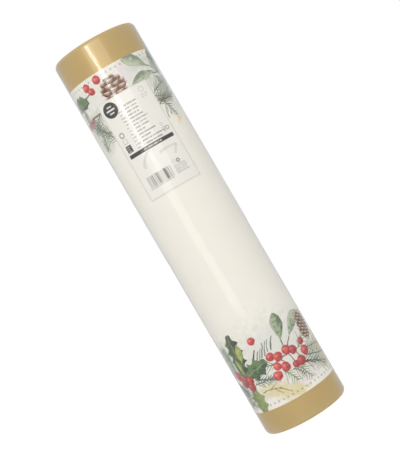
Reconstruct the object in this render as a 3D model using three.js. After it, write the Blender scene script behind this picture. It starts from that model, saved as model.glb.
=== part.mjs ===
// A roll of decorative wrapping paper, standing on its lower end.
// Frame: millimetres, +Z up along the roll's axis, origin at the centre of the lower end,
// and the label faces -Y. Angles called "bearing" start at the label's middle and grow towards +X.
//
// How the real roll is built, from the inside out:
//   a cardboard core of three plies, the web wound round it, the last printed turn with its free edge,
//   two tapes that hold that edge, a printed label sheet, and a shrink film that seals everything.

import * as THREE from 'three';

// ---- driving dimensions ----
const ROLL_LENGTH = 400; // over the film, end to end
const ROLL_RADIUS = 42.8; // over the film
const CORE_BORE_RADIUS = 19; // a 38 mm spindle fits through
const PLY_THICKNESS = 0.78; // one ply of core board
const GLUE_LINE = 0.05; // between two plies
const CORE_CLEARANCE = 0.1; // core to the first turn, so that the core can be pushed out

const FILM_THICKNESS = 0.2;
const FILM_CORNER_RADIUS = 3; // the film is drawn round the roll's edge
const FILM_HOLE_RADIUS = 27; // left open at each end when the film shrinks
const END_GAP = 0.2; // film to the web's cut edge

const WEB_OUTER_RADIUS = 41.6; // of the turns under the last one
const WEB_EDGE_RADIUS = 2.6; // the film crushes the outer turns round at both ends

const TURN_THICKNESS = 0.25; // of the last turn
const TURN_RISE = 0.35; // how far the spiral climbs in one turn
const TURN_INNER_RADIUS = 41.7; // where the last turn starts
const TURN_SETBACK = 2.2; // the last turn stops this far from each end, where the edge is crushed
const TAIL_BEARING = 160; // the web's free edge is at the back
const TAIL_LAP = 30; // degrees by which the last turn laps over its own start

const TAPE_RADIUS = 42.42;
const TAPE_THICKNESS = 0.1;
const TAPE_HALF_ANGLE = 12; // degrees each side of the free edge
const TAPE_HEIGHT = 19;
const TAPE_MIDDLES = { tail_tape_upper: 300, tail_tape_lower: 100 };

const LABEL_WIDTH = 55; // round the roll
const LABEL_HEIGHT = 100;
const LABEL_TOP = 344;
const LABEL_RADIUS = 42.3;
const LABEL_THICKNESS = 0.15;

const ROUND_SEGMENTS = 64; // facets of every full circle
const CORNER_SEGMENTS = 3;

// ---- materials ----
const finish = (color, roughness, metalness = 0, extra = {}) =>
  new THREE.MeshStandardMaterial({ color, roughness, metalness, ...extra });

const materials = {
  board: finish(0xb08d62, 0.9),
  liner: finish(0xc2a67c, 0.9),
  webEdge: finish(0xece7da, 0.85),
  printedWeb: finish(0xf1eee4, 0.6),
  label: finish(0xf0eee8, 0.5),
  tape: finish(0xe6e2d2, 0.3, 0, { transparent: true, opacity: 0.6 }),
  film: finish(0xffffff, 0.12, 0, { transparent: true, opacity: 0.15 }),
};

// ---- helpers ----
const toRadians = THREE.MathUtils.degToRad;
const bearingAngle = (bearing) => toRadians(bearing - 90); // bearing 0 is -Y

function named(name, geometry, material) {
  const mesh = new THREE.Mesh(geometry, material);
  mesh.name = name;
  return mesh;
}

// Turns an outline of [radius, height] points, given anticlockwise, round the roll's axis.
function turned(outline) {
  const profile = [...outline, outline[0]].map(([radius, height]) => new THREE.Vector2(radius, height));
  const geometry = new THREE.LatheGeometry(profile, ROUND_SEGMENTS);
  geometry.rotateX(Math.PI / 2);
  return geometry;
}

// Points of a quarter circle in the radius-height plane, from one angle to another, in degrees.
function corner(centreRadius, centreHeight, radius, fromAngle, toAngle) {
  return Array.from({ length: CORNER_SEGMENTS + 1 }, (_, i) => {
    const angle = toRadians(fromAngle + ((toAngle - fromAngle) * i) / CORNER_SEGMENTS);
    return [centreRadius + radius * Math.cos(angle), centreHeight + radius * Math.sin(angle)];
  });
}

// A curved sheet that lies on the roll, between two bearings, upright between two heights.
function curvedSheet(innerRadius, thickness, fromBearing, toBearing, low, high) {
  const start = bearingAngle(fromBearing);
  const end = bearingAngle(toBearing);
  const outline = new THREE.Shape();
  outline.absarc(0, 0, innerRadius + thickness, start, end, false);
  outline.absarc(0, 0, innerRadius, end, start, true);
  const facets = Math.max(4, Math.ceil(((toBearing - fromBearing) / 360) * ROUND_SEGMENTS));
  const geometry = new THREE.ExtrudeGeometry(outline, {
    depth: high - low,
    bevelEnabled: false,
    curveSegments: facets,
  });
  geometry.translate(0, 0, low);
  return geometry;
}

// ---- the core: three plies, one inside the other ----
function corePlies() {
  const names = ['core_inner_ply', 'core_middle_ply', 'core_outer_ply'];
  const low = FILM_THICKNESS + END_GAP;
  const high = ROLL_LENGTH - low;
  return names.map((name, i) => {
    const inner = CORE_BORE_RADIUS + i * (PLY_THICKNESS + GLUE_LINE);
    const outer = inner + PLY_THICKNESS;
    const tube = turned([[inner, low], [outer, low], [outer, high], [inner, high]]);
    return named(name, tube, i === 0 ? materials.liner : materials.board);
  });
}

const CORE_OUTER_RADIUS = CORE_BORE_RADIUS + 3 * PLY_THICKNESS + 2 * GLUE_LINE;

// ---- the wound web: every turn but the last, as one body with crushed outer edges ----
function woundWeb() {
  const inner = CORE_OUTER_RADIUS + CORE_CLEARANCE;
  const low = FILM_THICKNESS + END_GAP;
  const high = ROLL_LENGTH - low;
  const cornerCentre = WEB_OUTER_RADIUS - WEB_EDGE_RADIUS;
  const web = turned([
    [inner, low],
    ...corner(cornerCentre, low + WEB_EDGE_RADIUS, WEB_EDGE_RADIUS, -90, 0),
    ...corner(cornerCentre, high - WEB_EDGE_RADIUS, WEB_EDGE_RADIUS, 0, 90),
    [inner, high],
  ]);
  return named('wound_web', web, materials.webEdge);
}

// ---- the last turn: a spiral strip that ends in the web's free edge ----
function outerTurn() {
  const sweep = 360 + TAIL_LAP;
  const steps = Math.ceil((sweep / 360) * ROUND_SEGMENTS);
  const spiral = (radiusOffset) =>
    Array.from({ length: steps + 1 }, (_, i) => {
      const turnedBy = (sweep * i) / steps;
      const radius = TURN_INNER_RADIUS + radiusOffset + (TURN_RISE * turnedBy) / 360;
      const angle = bearingAngle(TAIL_BEARING - sweep + turnedBy);
      return new THREE.Vector2(radius * Math.cos(angle), radius * Math.sin(angle));
    });
  const outline = new THREE.Shape([...spiral(TURN_THICKNESS), ...spiral(0).reverse()]);
  const strip = new THREE.ExtrudeGeometry(outline, {
    depth: ROLL_LENGTH - 2 * TURN_SETBACK,
    bevelEnabled: false,
  });
  strip.translate(0, 0, TURN_SETBACK);
  return named('outer_turn', strip, materials.printedWeb);
}

// ---- the tapes that hold the free edge down ----
function tailTapes() {
  return Object.entries(TAPE_MIDDLES).map(([name, middle]) => {
    const tape = curvedSheet(
      TAPE_RADIUS,
      TAPE_THICKNESS,
      TAIL_BEARING - TAPE_HALF_ANGLE,
      TAIL_BEARING + TAPE_HALF_ANGLE,
      middle - TAPE_HEIGHT / 2,
      middle + TAPE_HEIGHT / 2,
    );
    return named(name, tape, materials.tape);
  });
}

// ---- the label, under the film ----
function labelSheet() {
  const halfAngle = THREE.MathUtils.radToDeg(LABEL_WIDTH / 2 / LABEL_RADIUS);
  const sheet = curvedSheet(
    LABEL_RADIUS,
    LABEL_THICKNESS,
    -halfAngle,
    halfAngle,
    LABEL_TOP - LABEL_HEIGHT,
    LABEL_TOP,
  );
  return named('label_sheet', sheet, materials.label);
}

// ---- the shrink film: a tube drawn over both ends, open at the core ----
function filmSleeve() {
  const cornerCentre = ROLL_RADIUS - FILM_CORNER_RADIUS;
  const innerCorner = FILM_CORNER_RADIUS - FILM_THICKNESS;
  const lowCentre = FILM_CORNER_RADIUS;
  const highCentre = ROLL_LENGTH - FILM_CORNER_RADIUS;
  const film = turned([
    [FILM_HOLE_RADIUS, 0],
    ...corner(cornerCentre, lowCentre, FILM_CORNER_RADIUS, -90, 0),
    ...corner(cornerCentre, highCentre, FILM_CORNER_RADIUS, 0, 90),
    [FILM_HOLE_RADIUS, ROLL_LENGTH],
    [FILM_HOLE_RADIUS, ROLL_LENGTH - FILM_THICKNESS],
    ...corner(cornerCentre, highCentre, innerCorner, 90, 0),
    ...corner(cornerCentre, lowCentre, innerCorner, 0, -90),
    [FILM_HOLE_RADIUS, FILM_THICKNESS],
  ]);
  return named('film_sleeve', film, materials.film);
}

// ---- the assembly ----
const core = new THREE.Group();
core.add(...corePlies());

const roll = new THREE.Group();
roll.add(core, woundWeb(), outerTurn(), ...tailTapes(), labelSheet(), filmSleeve());

export default roll;
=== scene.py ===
# %% [markdown]
# # A shrink-wrapped roll of wrapping paper
# The roll stands on its lower end. From the inside out it has a cardboard core of three plies, the
# turns of the paper, the last printed turn with its free edge held by two tapes, a label, and a
# shrink film that is drawn over both ends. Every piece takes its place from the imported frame.
# Lengths are metres unless a name ends in MM. A bearing is in degrees round the roll, from the front.

# %% Load the frame
import math
import random

import bmesh
import bpy
from mathutils import Euler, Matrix, Quaternion, Vector, noise


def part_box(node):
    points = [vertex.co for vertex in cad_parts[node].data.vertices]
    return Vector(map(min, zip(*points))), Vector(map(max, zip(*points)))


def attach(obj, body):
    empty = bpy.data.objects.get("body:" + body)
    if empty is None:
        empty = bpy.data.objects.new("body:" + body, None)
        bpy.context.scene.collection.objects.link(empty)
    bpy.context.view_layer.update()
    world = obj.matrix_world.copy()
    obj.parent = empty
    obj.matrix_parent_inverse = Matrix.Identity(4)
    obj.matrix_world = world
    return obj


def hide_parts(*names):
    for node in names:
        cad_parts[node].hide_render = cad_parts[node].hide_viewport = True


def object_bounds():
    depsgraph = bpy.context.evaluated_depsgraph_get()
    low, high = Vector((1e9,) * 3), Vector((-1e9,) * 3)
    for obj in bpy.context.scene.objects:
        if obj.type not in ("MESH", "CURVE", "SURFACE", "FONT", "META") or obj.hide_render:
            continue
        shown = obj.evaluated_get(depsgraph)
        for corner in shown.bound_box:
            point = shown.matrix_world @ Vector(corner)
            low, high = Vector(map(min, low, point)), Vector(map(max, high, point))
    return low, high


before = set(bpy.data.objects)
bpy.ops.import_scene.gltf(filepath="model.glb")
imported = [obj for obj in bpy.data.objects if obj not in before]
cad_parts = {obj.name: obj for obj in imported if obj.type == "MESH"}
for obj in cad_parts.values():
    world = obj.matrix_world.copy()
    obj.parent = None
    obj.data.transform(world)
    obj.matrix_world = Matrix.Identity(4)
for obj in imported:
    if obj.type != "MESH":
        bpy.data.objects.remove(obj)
cad_low, cad_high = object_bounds()
MM = 0.001
ROLL_RADIUS = cad_high.x
ROLL_LENGTH = cad_high.z - cad_low.z
ROLL_BODY = "wrapped_roll"
CORE_BODY = "core"
print(f"roll: {ROLL_LENGTH / MM:.1f} mm long, {2 * ROLL_RADIUS / MM:.1f} mm across")

# %% [markdown]
# ## Camera
# A roll is best seen from far away through a long lens, because its sides then stay nearly parallel.
# The camera looks nearly level at the roll's middle and is turned round its own view axis, which
# makes the standing roll lean across the view.

# %% Place the camera
CAMERA_DISTANCE = 1.0741
CAMERA_HEIGHT = 0.2184
CAMERA_LENS_MM = 89.65
CAMERA_TILT_DEGREES = -0.956
CAMERA_TURN_DEGREES = -30.2


def place_camera():
    camera = bpy.data.objects.new("catalogue_camera", bpy.data.cameras.new("catalogue_camera"))
    camera.data.lens = CAMERA_LENS_MM
    camera.data.clip_start = 0.05
    camera.location = (0, -CAMERA_DISTANCE, CAMERA_HEIGHT)
    level = Euler((math.radians(90 + CAMERA_TILT_DEGREES), 0, 0)).to_quaternion()
    camera.rotation_mode = "QUATERNION"
    camera.rotation_quaternion = level @ Quaternion((0, 0, 1), math.radians(CAMERA_TURN_DEGREES))
    bpy.context.scene.collection.objects.link(camera)
    bpy.context.scene.camera = camera
    return camera


place_camera()
print(f"camera: {CAMERA_LENS_MM} mm lens, {CAMERA_DISTANCE} m away")

# %% [markdown]
# ## Helpers
# Shader trees are easier to read as sums than as a web of wires, so small helpers make a node, feed
# its inputs with numbers or with other nodes' outputs, and hand back the output.


# %% Shader helpers
def feed(tree, socket, value):
    if isinstance(value, bpy.types.NodeSocket):
        tree.links.new(value, socket)
    else:
        socket.default_value = value


def add(tree, kind, inputs, **settings):
    """Adds a node. Inputs are a dict of socket name or number to a value or another output."""
    node = tree.nodes.new(kind)
    for key, value in settings.items():
        setattr(node, key, value)
    for key, value in inputs.items():
        feed(tree, node.inputs[key], value)
    return node


def calc(tree, operation, *values):
    return add(tree, "ShaderNodeMath", dict(enumerate(values)), operation=operation).outputs[0]


def times(tree, first, second):
    return calc(tree, "MULTIPLY", first, second)


def less(tree, first, second):
    """The first value less the second."""
    return calc(tree, "SUBTRACT", first, second)


def per(tree, first, second):
    """The first value divided by the second."""
    return calc(tree, "DIVIDE", first, second)


def distance(tree, x, y):
    """How far the point x, y lies from 0, 0."""
    return calc(tree, "SQRT", calc(tree, "MULTIPLY_ADD", x, x, times(tree, y, y)))


def stretch(tree, vector, scales):
    return add(tree, "ShaderNodeVectorMath", {0: vector, 1: scales}, operation="MULTIPLY").outputs[0]


def fade(tree, value, start, end, low=0.0, high=1.0):
    """Goes smoothly from low at start to high at end, and stays level outside them."""
    inputs = {"Value": value, "From Min": start, "From Max": end, "To Min": low, "To Max": high}
    node = add(tree, "ShaderNodeMapRange", inputs, interpolation_type="SMOOTHSTEP", clamp=False)
    return node.outputs[0]


def blend(tree, share, under, over):
    """Mixes two colours: share 0 is the one under, and 1 the one over."""
    node = add(tree, "ShaderNodeMix", {0: share}, data_type="RGBA")
    feed(tree, node.inputs[6], under)
    feed(tree, node.inputs[7], over)
    return node.outputs[2]


def parts(tree, vector):
    node = add(tree, "ShaderNodeSeparateXYZ", {0: vector})
    return node.outputs[0], node.outputs[1], node.outputs[2]


def grain(tree, vector, scale, detail=2.0, roughness=0.5):
    """Soft noise from 0 to 1."""
    inputs = {"Vector": vector, "Scale": scale, "Detail": detail, "Roughness": roughness}
    return add(tree, "ShaderNodeTexNoise", inputs).outputs[0]


def ink(red, green, blue):
    """A colour as a printer names it, from 0 to 255, made linear for the shader."""
    return tuple((c / 255) ** 2.2 for c in (red, green, blue)) + (1.0,)


FLAT_MAP = "flat_mm"


def start_group(name, inputs, outputs):
    """A node group. Inputs are (name, default), a tuple for a colour, and outputs are names."""
    tree = bpy.data.node_groups.new(name, "ShaderNodeTree")
    for label, default in inputs:
        kind = "Color" if isinstance(default, tuple) else "Float"
        socket = tree.interface.new_socket(
            name=label, in_out="INPUT", socket_type=f"NodeSocket{kind}"
        )
        socket.default_value = default
    for label in outputs:
        kind = "Color" if label == "Colour" else "Float"
        tree.interface.new_socket(name=label, in_out="OUTPUT", socket_type=f"NodeSocket{kind}")
    entry = tree.nodes.new("NodeGroupInput")
    return tree, {label: entry.outputs[label] for label, _ in inputs}


def end_group(tree, **outputs):
    leave = tree.nodes.new("NodeGroupOutput")
    for label, value in outputs.items():
        tree.links.new(value, leave.inputs[label])
    return tree


def stamp(tree, group, **inputs):
    """Places a group in a material and returns its outputs by name."""
    node = tree.nodes.new("ShaderNodeGroup")
    node.node_tree = group
    for label, value in inputs.items():
        feed(tree, node.inputs[label], value)
    return node.outputs


def start_material(name, roughness):
    material = bpy.data.materials.new(name)
    material.use_nodes = True
    tree = material.node_tree
    shader = tree.nodes["Principled BSDF"]
    shader.inputs["Roughness"].default_value = roughness
    return material, tree, shader


def object_place(tree):
    return add(tree, "ShaderNodeTexCoord", {}).outputs["Object"]


def flat_place(tree):
    """The point on the piece's own flat map, in millimetres."""
    return add(tree, "ShaderNodeUVMap", {}, uv_map=FLAT_MAP).outputs[0]


def chance_of(tree, seed):
    """The same random number from 0 to 1 each time a seed comes round."""
    return add(tree, "ShaderNodeTexWhiteNoise", {"W": seed}, noise_dimensions="1D").outputs[0]


def emboss(tree, shader, height, strength, depth):
    """Lets the light see fine hills where the height is large."""
    inputs = {"Height": height, "Strength": strength, "Distance": depth}
    bump = add(tree, "ShaderNodeBump", inputs)
    feed(tree, shader.inputs["Normal"], bump.outputs[0])


# %% [markdown]
# ## Stage and light
# The roll stands on a white floor in a white room. The room looks white to the camera but lights the
# roll with less, so that the round of the roll still shows: its middle faces a large soft light, and
# its sides fall off a little. A tall light to the left gives the film its long soft streak, and a
# narrow one sharpens the streak near the top. The floor glows a little and is hidden from the roll,
# so it shows no horizon and throws no grey on the roll's foot.

# %% Build the stage
ROOM_LIGHT = 0.87
ROOM_MIRRORED = 0.62
ROOM_SEEN = 1.0
FLOOR_GREY = (0.25, 0.25, 0.25, 1)
FLOOR_GLOW = 0.9
FLOOR_HALF_WIDTH = 6


def light_room():
    world = bpy.data.worlds.new("white_room")
    world.use_nodes = True
    tree = world.node_tree
    background = tree.nodes["Background"]
    background.inputs["Color"].default_value = (1, 1, 1, 1)
    path = add(tree, "ShaderNodeLightPath", {})
    strength = ROOM_LIGHT
    for ray, wanted in (("Is Glossy Ray", ROOM_MIRRORED), ("Is Camera Ray", ROOM_SEEN)):
        choice = {"Factor": path.outputs[ray], "A": strength, "B": wanted}
        strength = add(tree, "ShaderNodeMix", choice).outputs["Result"]
    feed(tree, background.inputs["Strength"], strength)
    bpy.context.scene.world = world


def make_object(shape, name, materials):
    """Turns a finished bmesh into an object with its materials."""
    mesh = bpy.data.meshes.new(name)
    shape.to_mesh(mesh)
    shape.free()
    for material in materials:
        mesh.materials.append(material)
    made = bpy.data.objects.new(name, mesh)
    bpy.context.scene.collection.objects.link(made)
    return made


def lay_floor():
    material, _, shader = start_material("white_floor", 0.9)
    shader.inputs["Base Color"].default_value = FLOOR_GREY
    shader.inputs["Specular IOR Level"].default_value = 0.0
    shader.inputs["Emission Color"].default_value = (1, 1, 1, 1)
    shader.inputs["Emission Strength"].default_value = FLOOR_GLOW
    shape = bmesh.new()
    bmesh.ops.create_grid(shape, x_segments=1, y_segments=1, size=FLOOR_HALF_WIDTH)
    floor = make_object(shape, "floor", [material])
    floor.visible_shadow = False
    floor.visible_glossy = False
    floor.visible_diffuse = False


def hang_light(name, bearing, away, height, width, tall, watts, colour):
    """A flat light that faces the roll's middle. Bearing 0 is in front of the label."""
    light = bpy.data.objects.new(name, bpy.data.lights.new(name, "AREA"))
    light.data.shape = "RECTANGLE"
    light.data.size = width
    light.data.size_y = tall
    light.data.energy = watts
    light.data.color = colour
    angle = math.radians(bearing)
    light.location = (away * math.sin(angle), -away * math.cos(angle), height)
    towards = Vector((0, 0, height)) - light.location
    light.rotation_mode = "QUATERNION"
    light.rotation_quaternion = towards.to_track_quat("-Z", "Y")
    bpy.context.scene.collection.objects.link(light)


light_room()
lay_floor()
hang_light(
    "streak_light", bearing=-18.5, away=1.3, height=0.58, width=0.5, tall=1.2, watts=1.35,
    colour=(1, 0.97, 0.93),
)
hang_light(
    "upper_streak_light", bearing=-16.6, away=1.3, height=0.77, width=0.18, tall=0.62, watts=1.4,
    colour=(0.98, 0.98, 1),
)
hang_light(
    "front_light", bearing=2, away=1.9, height=1.1, width=1.5, tall=1.5, watts=6.5,
    colour=(1, 0.96, 0.89),
)
bpy.context.scene.view_settings.view_transform = "Standard"
print("stage: white room, white floor, two streak lights, one soft front light")

# %% [markdown]
# A piece is finished in the same few steps each time: its bmesh becomes a mesh with smooth faces, it
# gets its materials, it rides on a body of the frame, and it stands for the plain CAD solid.


# %% Piece helper
def finish_piece(shape, name, body, materials, stands_for, wall=0.0):
    piece = make_object(shape, name, materials)
    piece.data.shade_smooth()
    if wall:
        thicken = piece.modifiers.new("wall", "SOLIDIFY")
        thicken.thickness = wall
        thicken.offset = 0
    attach(piece, body)
    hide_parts(*stands_for)
    size = [round(s / MM, 1) for s in piece.dimensions]
    print(f"{name}: {len(piece.data.polygons)} faces, {size} mm")
    return piece


# %% [markdown]
# ## The core
# A paper core is wound from strips of board that run round it like the stripes of a barber's pole.
# Each ply is one strip, and its edges nearly meet in a spiral seam. So each ply starts as an upright
# edge, which a spin with a climb sweeps round and up, and two cuts trim the ends square. The wall is
# added last. The plies' seams are turned away from each other, as a winder does.

# %% Core material
LINER_TONE = ink(205, 182, 148)
BOARD_TONE = ink(178, 147, 108)


def board_material(name, tone):
    material, tree, shader = start_material(name, 0.85)
    place = object_place(tree)
    fibres = grain(tree, stretch(tree, place, (1, 1, 0.35)), 900, 4.0, 0.7)
    clouds = grain(tree, place, 60, 2.0)
    specks = fade(tree, grain(tree, place, 2600, 1.0), 0.66, 0.74)
    dark = tuple(c * 0.72 for c in tone[:3]) + (1,)
    pale = tuple(min(1, c * 1.15) for c in tone[:3]) + (1,)
    base = blend(tree, clouds, pale, tone)
    base = blend(tree, times(tree, fibres, 0.5), base, dark)
    base = blend(tree, times(tree, specks, 0.5), base, ink(120, 92, 62))
    feed(tree, shader.inputs["Base Color"], base)
    emboss(tree, shader, fibres, 0.4, 0.0002)
    return material


LINER = (board_material("core_liner", LINER_TONE), "core_liner")
BOARD = (board_material("core_board", BOARD_TONE), "core_board")

# %% Wind the core's plies
STRIP_CLIMB = 0.1
SEAM_GAP = 0.9 * MM
STEPS_PER_TURN = 72
STRIP_ROWS = 14
SEAM_SPREAD = 2.1
PLY_GAP = 0.05 * MM
CORE_NODES = ["core_inner_ply", "core_middle_ply", "core_outer_ply"]
PLY_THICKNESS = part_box(CORE_NODES[1])[1].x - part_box(CORE_NODES[0])[1].x - PLY_GAP


def trim_ends(shape, low, high):
    """Cuts a shape square at two heights and takes the waste away."""
    for height, up in ((low, -1), (high, 1)):
        everything = shape.verts[:] + shape.edges[:] + shape.faces[:]
        bmesh.ops.bisect_plane(
            shape, geom=everything, plane_co=(0, 0, height), plane_no=(0, 0, up), clear_outer=True
        )


def wind_ply(node, seam_turn, material, slot):
    low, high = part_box(node)
    middle = high.x - PLY_THICKNESS / 2
    turns = math.ceil((high.z - low.z) / STRIP_CLIMB) + 2
    shape = bmesh.new()
    bmesh.ops.create_grid(shape, x_segments=1, y_segments=STRIP_ROWS, size=0.5)
    right_side = [v for v in shape.verts if v.co.x > 0]
    bmesh.ops.delete(shape, geom=right_side, context="VERTS")
    strip_height = STRIP_CLIMB - SEAM_GAP
    for vert in shape.verts:
        vert.co = (middle, 0, low.z + (vert.co.y - 0.5) * strip_height - STRIP_CLIMB / 2)
    bmesh.ops.spin(
        shape,
        geom=shape.verts[:] + shape.edges[:],
        cent=(0, 0, 0),
        axis=(0, 0, 1),
        dvec=(0, 0, STRIP_CLIMB / STEPS_PER_TURN),
        angle=math.tau * turns,
        steps=STEPS_PER_TURN * turns,
        use_duplicate=False,
    )
    bmesh.ops.rotate(shape, verts=shape.verts, matrix=Euler((0, 0, seam_turn)).to_matrix())
    trim_ends(shape, low.z, high.z)
    bmesh.ops.recalc_face_normals(shape, faces=shape.faces)
    return finish_piece(shape, node + "_wound", CORE_BODY, [material], [node], wall=PLY_THICKNESS)


for number, node in enumerate(CORE_NODES):
    wind_ply(node, number * SEAM_SPREAD, *(LINER if number == 0 else BOARD))

# %% [markdown]
# ## The turns of the paper
# At the ends the roll shows the cut edges of a few hundred turns. They never lie quite level, because
# the paper wanders a little as it is wound, so the end face is a field of fine steps. One profile,
# from the bore over the lower steps, up the outside and back over the upper steps, is spun round the
# axis. The outer corner is round, because the shrinking film crushes the last turns inwards.

# %% Web edge material
TURN_PITCH = 0.45 * MM
TURN_WANDER = 2.5


def web_edge_material():
    material, tree, shader = start_material("web_edge", 0.8)
    place = object_place(tree)
    x, y, _ = parts(tree, place)
    radius = distance(tree, x, y)
    wander = times(tree, grain(tree, place, 45, 3.0), TURN_WANDER)
    turn_count = calc(tree, "ADD", per(tree, radius, TURN_PITCH), wander)
    edge = calc(tree, "PINGPONG", turn_count, 0.5)
    line = fade(tree, edge, 0.04, 0.3)
    tones = grain(tree, add(tree, "ShaderNodeCombineXYZ", {0: radius}).outputs[0], 900, 2.0)
    base = blend(tree, tones, ink(226, 218, 196), ink(243, 240, 230))
    between_turns = times(tree, less(tree, 1, line), 0.45)
    base = blend(tree, between_turns, base, ink(176, 160, 124))
    feed(tree, shader.inputs["Base Color"], base)
    emboss(tree, shader, line, 0.5, 0.0003)
    return material


# %% Build the block of turns
TURN_STEPS = 34
END_RECESS = 0.9 * MM
STEP_HEIGHT = 0.35 * MM
CRUSH_RADIUS = 3.4 * MM
CRUSH_ROWS = 8
ROUND_STEPS = 180
CORE_GAP = 0.1 * MM
SHEET_GAP = 0.15 * MM
STEP_MARGIN = 0.06
MERGE_DISTANCE = 1e-7


def crushed_corner(outer, low, high, rows):
    """(radius, height) points round the lower outer corner and up to the upper one."""
    angles = [math.pi / 2 * i / rows for i in range(rows + 1)]
    lower = [
        (outer - CRUSH_RADIUS * (1 - math.sin(angle)), low + CRUSH_RADIUS * (1 - math.cos(angle)))
        for angle in angles
    ]
    return lower + [(radius, high + low - height) for radius, height in reversed(lower)]


def spin_profile(shape, points, steps, closed):
    """Joins (radius, height) points to a profile and spins it all the way round."""
    verts = [shape.verts.new((radius, 0, height)) for radius, height in points]
    followers = verts[1:] + verts[:1] if closed else verts[1:]
    for first, second in zip(verts, followers):
        shape.edges.new((first, second))
    bmesh.ops.spin(
        shape,
        geom=shape.verts[:] + shape.edges[:],
        cent=(0, 0, 0),
        axis=(0, 0, 1),
        angle=math.tau,
        steps=steps,
        use_merge=True,
        use_duplicate=False,
    )
    bmesh.ops.remove_doubles(shape, verts=shape.verts, dist=MERGE_DISTANCE)


def build_turn_block():
    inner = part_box("core_outer_ply")[1].x + CORE_GAP
    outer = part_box("wound_web")[1].x - SHEET_GAP
    bottom = END_RECESS
    top = ROLL_LENGTH - END_RECESS
    levels = random.Random(7)
    face_edge = outer - CRUSH_RADIUS
    pitch = (face_edge - inner) / TURN_STEPS
    steps = []
    for number in range(TURN_STEPS):
        lift = levels.uniform(0, STEP_HEIGHT)
        steps.append((inner + (number + STEP_MARGIN) * pitch, lift))
        steps.append((inner + (number + 1 - STEP_MARGIN) * pitch, lift))
    profile = [(radius, bottom + lift) for radius, lift in steps]
    profile += crushed_corner(outer, bottom, top, CRUSH_ROWS)
    profile += [(radius, top - lift) for radius, lift in reversed(steps)]
    shape = bmesh.new()
    spin_profile(shape, profile, ROUND_STEPS, closed=True)
    bmesh.ops.recalc_face_normals(shape, faces=shape.faces)
    return finish_piece(shape, "turn_block", ROLL_BODY, [web_edge_material()], ["wound_web"])


build_turn_block()

# %% [markdown]
# ## The printed paper
# The print is painted by the material, as a printer would build it up: the paper, pale washes,
# needles, stems, leaves, cones, berries and last the gold bands along both edges. The last turn
# carries a flat map of itself in millimetres, across from the label's middle and up from the lower
# edge, so each motif is stamped at a plain place on the sheet. Each kind of motif is one node group
# that works out its own shape around that place.

# %% Motif helpers: where a point lies, seen from a motif
SHEET_INPUTS = [("X", 0), ("Y", 0)]
MOTIF_INPUTS = SHEET_INPUTS + [
    ("Across", 0),
    ("Up", 0),
    ("Turn", 0),
    ("Length", 10),
    ("Width", 5),
]


def share_of(tree, value, whole):
    """How far a value is on its way from 0 to the whole, from 0 to 1."""
    return calc(tree, "MINIMUM", calc(tree, "MAXIMUM", per(tree, value, whole), 0), 1)


def local_place(tree, given):
    """Turns the sheet's point into lengths along and across the motif, in millimetres."""
    x = less(tree, given["X"], given["Across"])
    y = less(tree, given["Y"], given["Up"])
    angle = calc(tree, "RADIANS", given["Turn"])
    cosine = calc(tree, "COSINE", angle)
    sine = calc(tree, "SINE", angle)
    along = calc(tree, "MULTIPLY_ADD", x, cosine, times(tree, y, sine))
    across = less(tree, times(tree, y, cosine), times(tree, x, sine))
    return along, across


def bent_side(tree, share, across, bow):
    """How far a point is from a motif's middle line, which is bent sideways by bow."""
    arch = times(tree, times(tree, share, less(tree, 1, share)), 4)
    across = less(tree, across, times(tree, arch, bow))
    return across, calc(tree, "ABSOLUTE", across)


def between(tree, value, low, high, soft):
    """1 where a value lies between two others, with soft ends."""
    above = fade(tree, less(tree, value, low), -soft, soft)
    below = fade(tree, less(tree, high, value), -soft, soft)
    return times(tree, above, below)


# %% Inks of the motifs
BERRY_PALE = ink(228, 98, 92)
BERRY_DARK = ink(186, 48, 54)
BERRY_SPARK = ink(240, 158, 150)
BERRY_TIP = ink(70, 20, 24)
BERRY_RIPE = ink(120, 32, 40)
LEAF_RIB = ink(198, 208, 176)
CONE_BROWN = ink(140, 96, 72)
CONE_PALE = ink(224, 198, 166)
CONE_DARK = ink(84, 52, 42)

# %% [markdown]
# A berry is a disc that is pale towards the light and dark on the far side, with a small spark and a
# dark tip where the flower was.


# %% Berry group
def make_berry():
    extra = [("Grain", 0.5), ("Ripe", 0)]
    tree, given = start_group("berry", MOTIF_INPUTS + extra, ["Mask", "Colour"])
    radius = times(tree, given["Width"], 0.5)
    x = per(tree, less(tree, given["X"], given["Across"]), radius)
    y = per(tree, less(tree, given["Y"], given["Up"]), radius)
    mask = fade(tree, distance(tree, x, y), 1.12, 0.9)
    from_light = distance(tree, calc(tree, "ADD", x, 0.3), less(tree, y, 0.3))
    shade = calc(tree, "MULTIPLY_ADD", given["Grain"], 2.6, calc(tree, "ADD", from_light, -1.3))
    colour = blend(tree, fade(tree, shade, 0.0, 1.3), BERRY_PALE, BERRY_DARK)
    colour = blend(tree, fade(tree, from_light, 0.4, 0.1, 0, 0.65), colour, BERRY_SPARK)
    colour = blend(tree, given["Ripe"], colour, BERRY_RIPE)
    from_tip = distance(tree, less(tree, x, 0.35), calc(tree, "ADD", y, 0.3))
    colour = blend(tree, fade(tree, from_tip, 0.26, 0.1, 0, 0.6), colour, BERRY_TIP)
    return end_group(tree, Mask=mask, Colour=colour)


# %% [markdown]
# A leaf is as wide as half a sine wave. Two powers shape it: one moves the widest place towards the
# tip, and one makes the outline fuller, so that a laurel leaf ends blunt. Holly gets its spines from
# a saw-tooth that bites into the width. One half is lighter than the other, the pigment pools in
# patches, a pale rib runs down the middle, and slanting veins leave it.


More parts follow.
